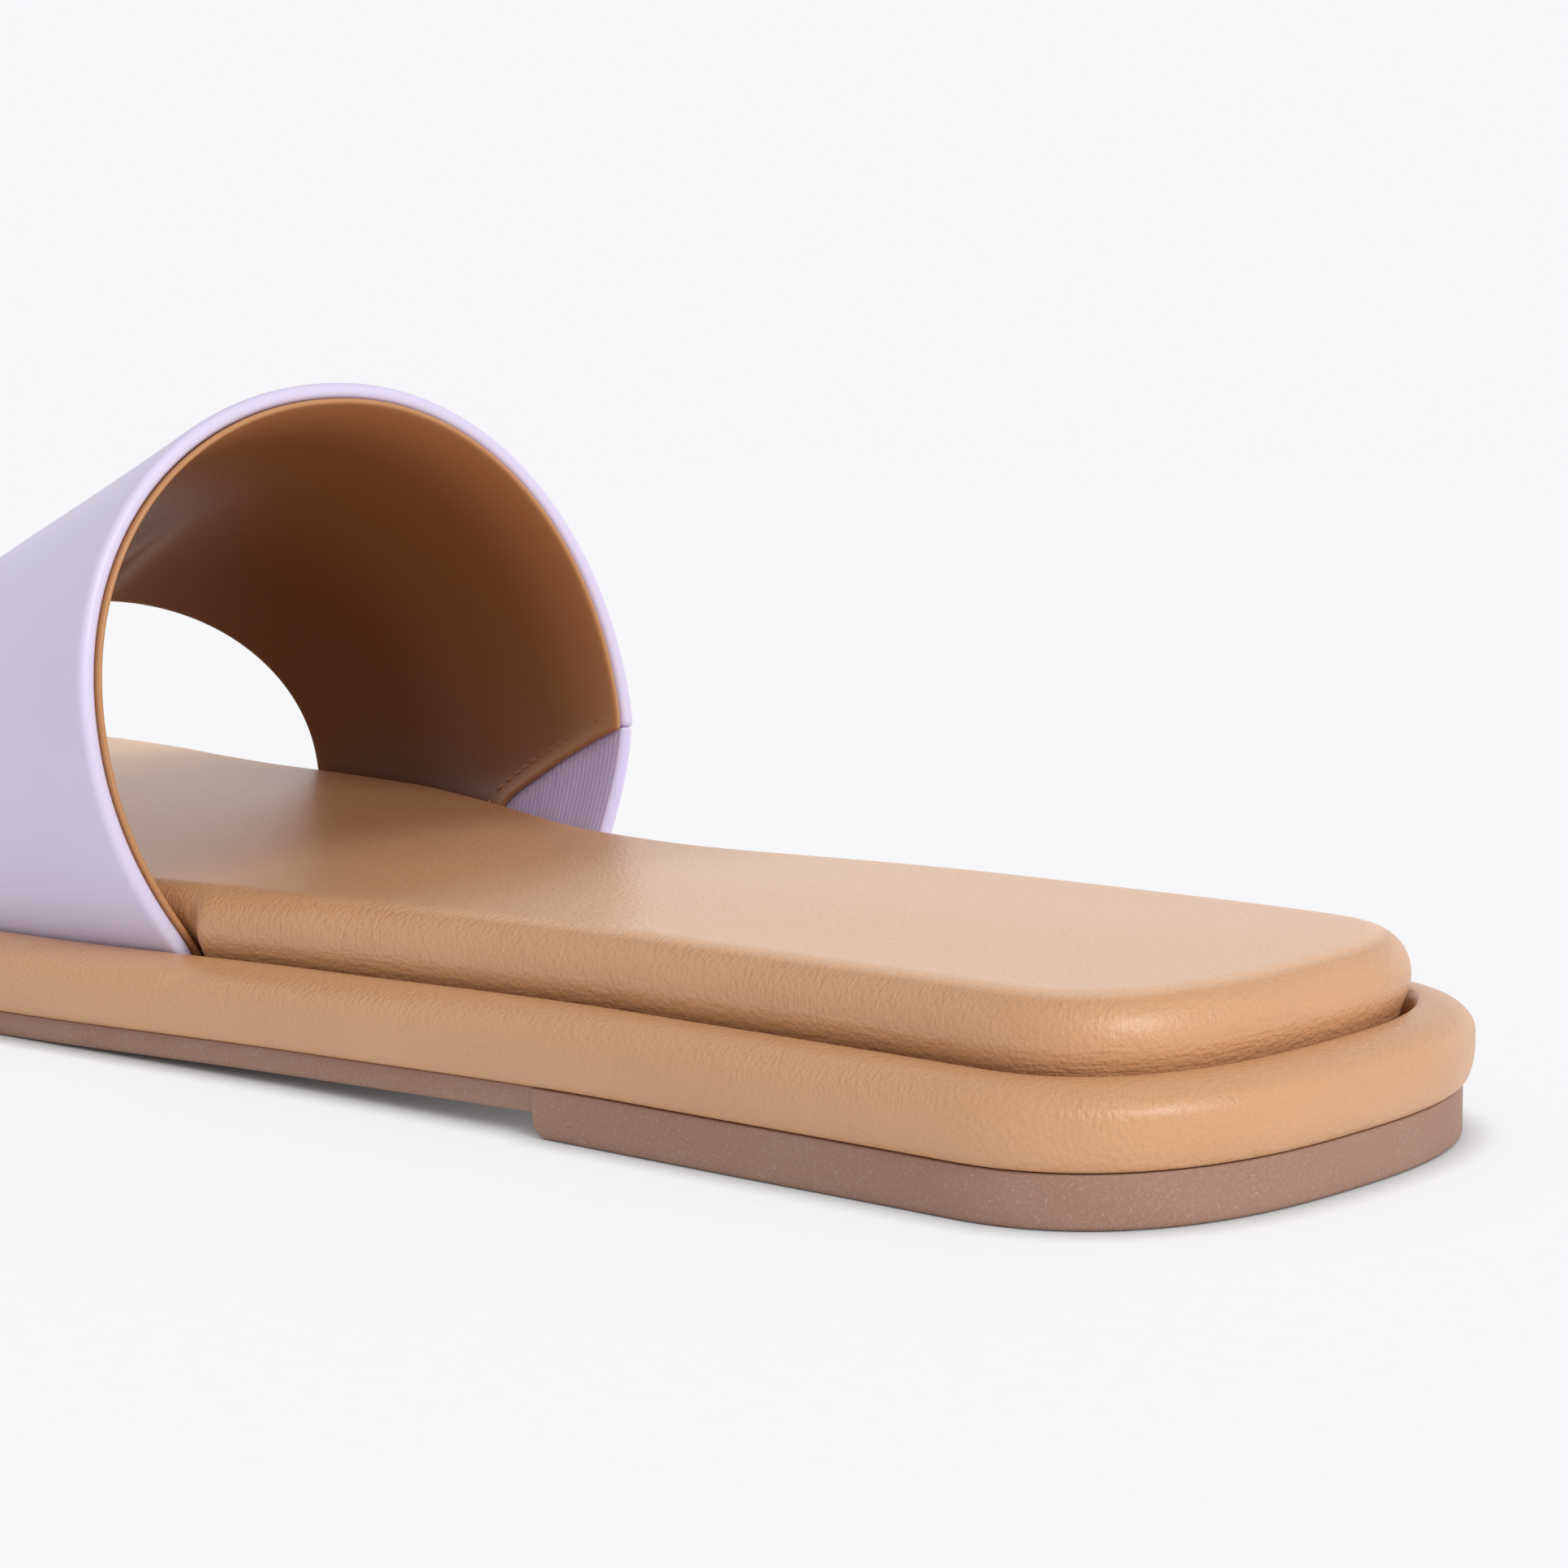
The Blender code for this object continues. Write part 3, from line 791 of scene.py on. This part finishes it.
def sheet_object(name, grid, material):
    """Open sheet of the strap through rows of places."""
    rows, width = grid.shape[:2]
    places = grid.reshape(-1, 2)
    form = np.column_stack([run_at(places[:, 1]), places[:, 0] * STRAP_LENGTH])
    faces = []
    for r in range(rows - 1):
        for c in range(width - 1):
            corner = r * width + c
            faces.append((corner, corner + width, corner + width + 1, corner + 1))
    corners = [form[corner] for face in faces for corner in face]
    return new_object(name, sheet_points(grid).reshape(-1, 3), faces, material, corners)


def shell(item, wall, inside):
    """Give an open sheet its wall, part of it inside the sheet, and round it off."""
    solid = item.modifiers.new("wall", "SOLIDIFY")
    solid.thickness = wall * MM
    solid.offset = 1 - 2 * inside / wall
    round_off = item.modifiers.new("round", "SUBSURF")
    round_off.levels = 2
    round_off.render_levels = 2
    return item


def build_skin(material):
    item = sheet_object("strap_skin", strap_grid(0.0, SKIN_RIM_IN), material)
    return shell(item, SKIN_WALL, 0.0)


def build_lining(material):
    """The strap's lining; its rim attribute is 1 along its rear edge and the gore, and 0 away from it."""
    grid = strap_grid(LINING_LAP, LINING_RIM_IN)
    item = sheet_object("strap_lining", grid, material)
    points = sheet_points(grid)
    edge = np.concatenate([points[:, 0], points[-1, 1 : EDGE_COLUMNS + 1]])
    rim = np.clip(1.0 - edge_distance(points.reshape(-1, 3), edge) / RIM_BAND, 0.0, 1.0)
    item.data.attributes.new("rim", "FLOAT", "POINT").data.foreach_set("value", rim)
    return shell(item, LINING_WALL, LINING_WALL + LINING_GAP)


def with_rim(line):
    """A line of places with one more of them close to its first."""
    return np.insert(line, 1, line[0] + (line[1] - line[0]) * GORE_RIM_SHARE, axis=0)


def build_gore(material):
    top = even_along(gore_line(GORE_GAP), GORE_COLUMNS)
    foot = np.linspace((0.0, MEDIAL_TUCK), (top[-1, 0], MEDIAL_TUCK), GORE_COLUMNS + 1)
    downs = np.array([0.0, SEAM_SHARE, *np.linspace(0.0, 1.0, GORE_ROWS + 1)[1:]])
    grid = fan(with_rim(top), with_rim(foot), downs, 1 - (1 - downs) ** FAN_POWER)
    item = sheet_object("gore_elastic", np.array(grid), material)
    return shell(item, GORE_WALL, GORE_INSIDE)


def seam_frame(turn):
    """Place on the seam surface at the gore's edge, with the edge's way and the way into the shoe."""
    v, g = gore_edge(turn)
    place = strap_point(v, g)
    along = strap_point(*gore_edge(turn + SMALL)) - strap_point(*gore_edge(turn - SMALL))
    across = np.cross(strap_point(v, g + SMALL) - place, strap_point(v + SMALL, g) - place)
    inward = across * math.copysign(1.0, across[1])
    return place, along / np.linalg.norm(along), inward / np.linalg.norm(inward)


def build_stitches(material):
    """One row of stitches in the lining, beside its edge along the gore."""
    turns = np.linspace(*STITCH_TURNS, STITCH_SAMPLES)
    run = line_run(np.array([seam_frame(turn)[0] for turn in turns]))
    depth = LINING_WALL + LINING_GAP + STITCH_OUT
    work = bmesh.new()
    for turn in np.interp(np.arange(STITCH_PITCH, run[-1], STITCH_PITCH), run, turns):
        place, along, inward = seam_frame(turn)
        away = np.cross(along, inward)
        away *= math.copysign(1.0, away[2])
        centre = place + STITCH_IN * away + depth * inward
        axes = np.column_stack([along * STITCH_HALF, away * STITCH_WIDE, inward * STITCH_WIDE])
        sides = Matrix.Translation(Vector((centre - ORIGIN).tolist())) @ Matrix(axes.tolist()).to_4x4()
        sides = Matrix.Scale(MM, 4) @ sides
        bmesh.ops.create_icosphere(work, subdivisions=2, radius=1.0, matrix=sides)
    item = new_object("strap_stitches", np.zeros((0, 3)), [], material)
    work.to_mesh(item.data)
    work.free()
    item.data.shade_smooth()
    return item


class Graph:
    """Nodes of a material or of the world, written one line each."""

    def __init__(self, owner):
        owner.use_nodes = True
        self.owner = owner
        self.tree = owner.node_tree

    def node(self, kind, inputs=None, **settings):
        """New node; an input is a value, or an output of another node."""
        made = self.tree.nodes.new(kind)
        for key, value in settings.items():
            setattr(made, key, value)
        for key, value in (inputs or {}).items():
            self.put(made.inputs[key], value)
        return made

    def put(self, socket, value):
        if isinstance(value, bpy.types.NodeSocket):
            self.tree.links.new(value, socket)
        else:
            socket.default_value = value

    def set(self, **inputs):
        """Values or outputs for the shader, with its own names in lower case."""
        surface = self.tree.nodes["Principled BSDF"]
        for key, value in inputs.items():
            name = key.replace("_", " ").title().replace("Ior", "IOR")
            if "Color" in name and isinstance(value, tuple):
                value = (*value, 1.0)
            self.put(surface.inputs[name], value)

    def source(self, name):
        """What one of the shader's inputs is taken from so far."""
        return self.tree.nodes["Principled BSDF"].inputs[name].links[0].from_socket

    def place(self, name="Object"):
        return self.node("ShaderNodeTexCoord").outputs[name]

    def form(self, along, up):
        """Coordinates on the piece's own form, in cells per metre along its edge and across it."""
        layer = self.node("ShaderNodeUVMap", uv_map="form").outputs["UV"]
        inputs = {"Vector": layer, "Scale": (along, up, 1.0)}
        return self.node("ShaderNodeMapping", inputs).outputs["Vector"]

    def axis(self, vector, name):
        return self.node("ShaderNodeSeparateXYZ", {"Vector": vector}).outputs[name]

    def noise(self, vector, scale, detail=2.0, rough=0.5):
        inputs = {"Vector": vector, "Scale": scale, "Detail": detail, "Roughness": rough}
        return self.node("ShaderNodeTexNoise", inputs).outputs["Fac"]

    def cells(self, vector, scale, feature="F1"):
        inputs = {"Vector": vector, "Scale": scale}
        return self.node("ShaderNodeTexVoronoi", inputs, feature=feature).outputs["Distance"]

    def wave(self, vector, direction):
        inputs = {"Vector": vector, "Scale": 1.0, "Distortion": 0.0}
        made = self.node("ShaderNodeTexWave", inputs, bands_direction=direction, wave_profile="SIN")
        return made.outputs["Fac"]

    def math(self, operation, a, b=0.0):
        made = self.node("ShaderNodeMath", operation=operation)
        self.put(made.inputs[0], a)
        self.put(made.inputs[1], b)
        return made.outputs[0]

    def times(self, a, b):
        return self.math("MULTIPLY", a, b)

    def span(self, value, low, high, to_low, to_high):
        """Value carried from one range to another, with soft ends."""
        inputs = {"Value": value, "From Min": low, "From Max": high, "To Min": to_low, "To Max": to_high}
        made = self.node("ShaderNodeMapRange", inputs, interpolation_type="SMOOTHSTEP")
        return made.outputs["Result"]

    def window(self, value, low, high, soft):
        """1 between low and high, 0 outside, over soft ends."""
        rise = self.span(value, low - soft, low + soft, 0.0, 1.0)
        return self.times(rise, self.span(value, high - soft, high + soft, 1.0, 0.0))

    def mix(self, share, a, b):
        made = self.node("ShaderNodeMix", data_type="RGBA")
        self.put(made.inputs["Factor"], share)
        for key, value in (("A", a), ("B", b)):
            socket = next(s for s in made.inputs if s.name == key and s.type == "RGBA")
            self.put(socket, (*value, 1.0) if isinstance(value, tuple) else value)
        return next(s for s in made.outputs if s.type == "RGBA")

    def bump(self, height, depth, below=None):
        """Relief of that depth in millimetres, over another relief."""
        inputs = {"Height": height, "Distance": depth * MM, "Strength": 1.0}
        if below is not None:
            inputs["Normal"] = below
        return self.node("ShaderNodeBump", inputs).outputs["Normal"]


def leather(name, colour, dark, grain, gloss, strokes=None, wrinkles=None):
    """Wrapped leather with a pebbled grain.  Strokes are short upright folds, where the wrap turns over,
    and wrinkles lie along the edge."""
    graph = Graph(bpy.data.materials.new(name))
    place = graph.place()
    drift = graph.noise(place, DRIFT_CELLS, 3.0)
    pebble = graph.cells(place, PEBBLE_CELLS, "SMOOTH_F1")
    pores = graph.noise(place, PORE_CELLS, 2.0)
    up = graph.axis(graph.form(1.0, 1.0), "Y")
    clouds = graph.span(drift, *NOISE, 0.0, 0.14)
    tone = graph.math("ADD", clouds, graph.span(pebble, 0.4, 0.8, 0.0, 0.12))
    relief = graph.bump(graph.math("SUBTRACT", 1.0, pebble), grain)
    relief = graph.bump(pores, grain * PORE_SHARE, relief)
    for kind, cells in ((strokes, STROKE_CELLS), (wrinkles, WRINKLE_CELLS)):
        if kind is None:
            continue
        ridges = graph.noise(graph.form(*cells), 1.0, 2.0, 0.55)
        patches = graph.span(graph.noise(place, PATCH_CELLS, 1.0), 0.35, 0.6, 0.25, 1.0)
        shown = graph.window(up, kind.low * MM, kind.high * MM, RELIEF_SOFT * MM)
        ridges = graph.times(graph.span(ridges, 0.25, 0.75, 0.0, 1.0), graph.times(shown, patches))
        relief = graph.bump(ridges, kind.depth, relief)
    graph.set(
        base_color=graph.mix(tone, colour, dark),
        roughness=graph.span(pores, *NOISE, gloss - 0.05, gloss + 0.07),
        coat_weight=0.30,
        coat_roughness=0.30,
        normal=relief,
    )
    return graph


def footbed_leather(name):
    """The footbed's wrap, with painted light and shade on what faces up: its top behind the strap and in
    front of it is painted paler, as if lit from above, and under the strap it is painted darker, as the
    strap's shade."""
    graph = leather(name, TAN, TAN_DARK, WRAP_GRAIN, WRAP_GLOSS, BED_STROKES, BED_WRINKLES)
    facing = graph.axis(graph.node("ShaderNodeNewGeometry").outputs["Normal"], "Z")
    top = graph.span(facing, *TOP_FACING, 0.0, 1.0)
    along = graph.axis(graph.place(), "X")
    behind = graph.span(along, *PAINTED_LIGHT_BEHIND, 1.0, 0.0)
    ahead = graph.span(along, *PAINTED_LIGHT_AHEAD, 0.0, 1.0)
    # Painted light on the top behind and in front of the strap; painted shade on the top under it
    painted_light = graph.times(top, graph.math("ADD", behind, ahead))
    shaded_span = graph.math("SUBTRACT", graph.span(along, *PAINTED_SHADE_FROM, 0.0, PAINTED_SHADE_SHARE), ahead)
    under = graph.times(top, graph.math("MAXIMUM", shaded_span, 0.0))
    shade = graph.mix(painted_light, graph.source("Base Color"), TAN_PAINTED_LIGHT)
    # Darker under the strap: painted shade
    graph.set(base_color=graph.mix(under, shade, TAN_DARK))
    return graph.owner


def lining_leather(name):
    """The strap's lining: smooth, with painted shade that darkens it away from its rear edge, painted
    sheen along folds near its front, and a pale folded rim.
    """
    graph = leather(name, LINING_TAN, LINING_DARK, LINING_GRAIN, LINING_GLOSS)
    form = graph.form(1.0, 1.0)
    run = graph.axis(form, "X")
    depth = graph.axis(form, "Y")
    # Painted shade: darker with depth from the strap's rear edge, where the strap's own shade falls
    # inside it
    shade = graph.mix(graph.span(depth, *PAINTED_SHADE_MID_AT, 0.0, 1.0), graph.source("Base Color"), LINING_PAINTED_SHADE_MID)
    shade = graph.mix(graph.span(depth, *PAINTED_SHADE_DEEP_AT, 0.0, 1.0), shade, LINING_PAINTED_SHADE_DEEP)
    # Painted sheen: a pale patch and pale lines along the folds, as if they caught light
    patch = graph.window(run, *PATCH_RUN, PATCH_SOFT)
    painted_sheen = graph.times(patch, graph.span(depth, *PATCH_DEPTH, 0.0, PATCH_SHEEN))
    relief = graph.source("Normal")
    for fold in LINING_FOLDS:
        lean = graph.times(graph.math("SUBTRACT", depth, STRAP_LENGTH * MM), fold.lean)
        off = graph.math("SUBTRACT", graph.math("SUBTRACT", run, fold.run * MM), lean)
        share = graph.math("DIVIDE", off, fold.width * MM)
        trough = graph.math("EXPONENT", graph.times(graph.times(share, share), -1.0))
        shown = graph.span(depth, fold.start * MM, (fold.start + FOLD_ONSET) * MM, 0.0, 1.0)
        line = graph.times(trough, shown)
        painted_sheen = graph.math("ADD", painted_sheen, graph.times(line, FOLD_SHEEN))
        relief = graph.bump(line, -fold.depth, relief)
    shade = graph.mix(painted_sheen, shade, LINING_PAINTED_SHEEN)
    rim = graph.node("ShaderNodeAttribute", attribute_name="rim").outputs["Fac"]
    graph.set(
        base_color=graph.mix(graph.span(rim, 0.1, 1.0, 0.0, 1.0), shade, LINING_RIM),
        coat_weight=0.15,
        coat_roughness=0.30,
        specular_ior_level=0.35,
        normal=relief,
    )
    return graph.owner


def satin(name):
    """The strap's skin: a fine, even grain with a satin gloss."""
    graph = Graph(bpy.data.materials.new(name))
    place = graph.place()
    drift = graph.noise(place, SKIN_DRIFT_CELLS, 3.0)
    grain = graph.cells(place, SKIN_GRAIN_CELLS, "SMOOTH_F1")
    fine = graph.noise(place, SKIN_FINE_CELLS, 2.0)
    relief = graph.bump(graph.math("SUBTRACT", 1.0, grain), SKIN_GRAIN)
    graph.set(
        base_color=graph.mix(graph.span(drift, *NOISE, 0.0, 0.7), LILAC, LILAC_SHADE),
        roughness=graph.span(fine, *NOISE, 0.40, 0.50),
        coat_weight=0.08,
        coat_roughness=0.35,
        normal=graph.bump(fine, SKIN_FINE, relief),
    )
    return graph.owner


def elastic(name):
    """The gore: fine upright ribs with a thread across them."""
    graph = Graph(bpy.data.materials.new(name))
    ribs = graph.wave(graph.form(0.0, RIB_CELLS), "Y")
    picks = graph.wave(graph.form(PICK_CELLS, 0.0), "X")
    fuzz = graph.noise(graph.place(), FUZZ_CELLS, 3.0)
    tone = graph.math("ADD", graph.times(ribs, 0.35), graph.times(fuzz, 0.6))
    graph.set(
        base_color=graph.mix(tone, ELASTIC_DARK, ELASTIC),
        roughness=0.78,
        sheen_weight=0.35,
        sheen_roughness=0.45,
        subsurface_weight=0.7,
        subsurface_scale=2.5 * MM,
        subsurface_radius=(1.0, 0.9, 1.1),
        normal=graph.bump(picks, PICK_DEPTH, graph.bump(ribs, RIB_DEPTH)),
    )
    return graph.owner


def rubber(name):
    """Moulded rubber, matt, with a little dust."""
    graph = Graph(bpy.data.materials.new(name))
    place = graph.place()
    cloud = graph.noise(place, RUBBER_CLOUD_CELLS, 4.0)
    fine = graph.noise(place, RUBBER_CELLS, 3.0, 0.65)
    dust = graph.span(graph.cells(place, DUST_CELLS), 0.06, 0.12, 0.55, 0.0)
    shade = graph.mix(graph.span(cloud, 0.35, 0.65, 0.0, 0.07), BROWN, BROWN_DUST)
    shade = graph.mix(graph.span(fine, 0.45, 0.75, 0.0, 0.3), shade, BROWN_DUST)
    graph.set(
        base_color=graph.mix(dust, shade, BROWN_DUST),
        roughness=graph.span(fine, *NOISE, 0.55, 0.7),
        normal=graph.bump(fine, RUBBER_DEPTH),
    )
    return graph.owner


def paper(name):
    """Pale studio floor.  Most of its light is its own glow, and ambient occlusion dims that glow where
    something stands close to it, a painted contact shadow; far from the sandal it is as plain as the
    backdrop."""
    graph = Graph(bpy.data.materials.new(name))
    place = graph.place()
    tooth = graph.noise(place, PAPER_CELLS, 2.0)
    near_colour = graph.mix(graph.span(tooth, *NOISE, 0.0, 1.0), FLOOR_WHITE, FLOOR_SHADE)
    inputs = {"Distance": CONTACT_REACH}
    # Ambient occlusion dims the glow near the sandal: painted contact shadow
    clear = graph.node("ShaderNodeAmbientOcclusion", inputs, samples=CONTACT_SAMPLES).outputs["AO"]
    glow = graph.times(graph.math("POWER", clear, CONTACT_POWER), FLOOR_GLOW)
    away = graph.node("ShaderNodeVectorMath", {0: place}, operation="LENGTH").outputs["Value"]
    far = graph.span(away, *FLOOR_PLAIN, 0.0, 1.0)
    rest = graph.times(far, graph.math("SUBTRACT", 1.0, glow))
    graph.set(
        base_color=graph.mix(far, near_colour, (0.0, 0.0, 0.0)),
        roughness=0.9,
        specular_ior_level=0.0,
        emission_color=WHITE,
        emission_strength=graph.math("ADD", glow, rest),
    )
    return graph.owner


def build_floor():
    half = FLOOR_HALF
    corners = [(-half, -half, 0.0), (half, -half, 0.0), (half, half, 0.0), (-half, half, 0.0)]
    floor = new_object("floor", corners, [(0, 1, 2, 3)], paper("floor_paper"))


def build_world():
    """Dim surround, brighter low down beyond the sandal; the camera itself sees plain white."""
    graph = Graph(bpy.data.worlds.new("studio"))
    bpy.context.scene.world = graph.owner
    way = graph.place("Generated")
    inputs = {0: way, 1: (math.cos(CAMERA_YAW), math.sin(CAMERA_YAW), 0.0)}
    across = graph.node("ShaderNodeVectorMath", inputs, operation="DOT_PRODUCT").outputs["Value"]
    beyond = graph.span(across, *BAND_ACROSS, 0.0, 1.0)
    band = graph.times(beyond, graph.span(graph.axis(way, "Z"), *BAND_UP, 1.0, 0.0))
    light = graph.span(band, 0.0, 1.0, SURROUND, BAND)
    seen = graph.node("ShaderNodeLightPath").outputs["Is Camera Ray"]
    unseen = graph.times(light, graph.math("SUBTRACT", 1.0, seen))
    sky = graph.tree.nodes["Background"]
    graph.put(sky.inputs["Color"], (*WHITE, 1.0))
    graph.put(sky.inputs["Strength"], graph.math("ADD", unseen, seen))


def build_key():
    """Soft key light from behind the heel."""
    data = bpy.data.lights.new("key", "SUN")
    data.energy = KEY_STRENGTH
    data.angle = KEY_ANGLE
    item = bpy.data.objects.new("key", data)
    item.rotation_euler = (-Vector(KEY_FROM)).to_track_quat("-Z", "Y").to_euler()
    bpy.context.scene.collection.objects.link(item)


def build_camera():
    level = math.cos(CAMERA_PITCH)
    ahead = (level * math.cos(CAMERA_YAW), level * math.sin(CAMERA_YAW), math.sin(CAMERA_PITCH))
    forward = Vector(ahead)
    right = forward.cross(Vector((0, 0, 1))).normalized()
    up = right.cross(forward)
    across = right * math.cos(CAMERA_ROLL) + up * math.sin(CAMERA_ROLL)
    rise = up * math.cos(CAMERA_ROLL) - right * math.sin(CAMERA_ROLL)
    data = bpy.data.cameras.new("camera")
    data.sensor_width = SENSOR
    data.lens = SENSOR * FOCAL_PIXELS / IMAGE_PIXELS
    data.clip_start = CLIP_START
    camera = bpy.data.objects.new("camera", data)
    turn = Matrix((across, rise, -forward)).transposed()
    camera.matrix_world = Matrix.Translation(CAMERA_AT) @ turn.to_4x4()
    bpy.context.scene.collection.objects.link(camera)
    bpy.context.scene.camera = camera


def dress(item, node):
    """The piece rides on the sandal's one body and stands for its node."""
    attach(item, "root")
    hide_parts(node)


build_camera()
build_world()
build_floor()
build_key()

dress(build_outsole(rubber("brown_rubber")), "outsole")
wrap = leather("tan_wrap", TAN, TAN_DARK, WRAP_GRAIN, WRAP_GLOSS, BEAD_STROKES)
dress(build_midsole(wrap.owner), "midsole")
footbed = build_footbed(footbed_leather("tan_footbed"))
dress(footbed, "footbed")
dress(build_skin(satin("lilac_skin")), "strap")
dress(build_lining(lining_leather("tan_lining")), "strap")
thread = leather("tan_thread", THREAD, THREAD_DARK, THREAD_GRAIN, THREAD_GLOSS)
dress(build_stitches(thread.owner), "strap")
dress(build_gore(elastic("lilac_elastic")), "gore")

bpy.context.scene.view_settings.view_transform = "Standard"

bpy.context.view_layer.update()
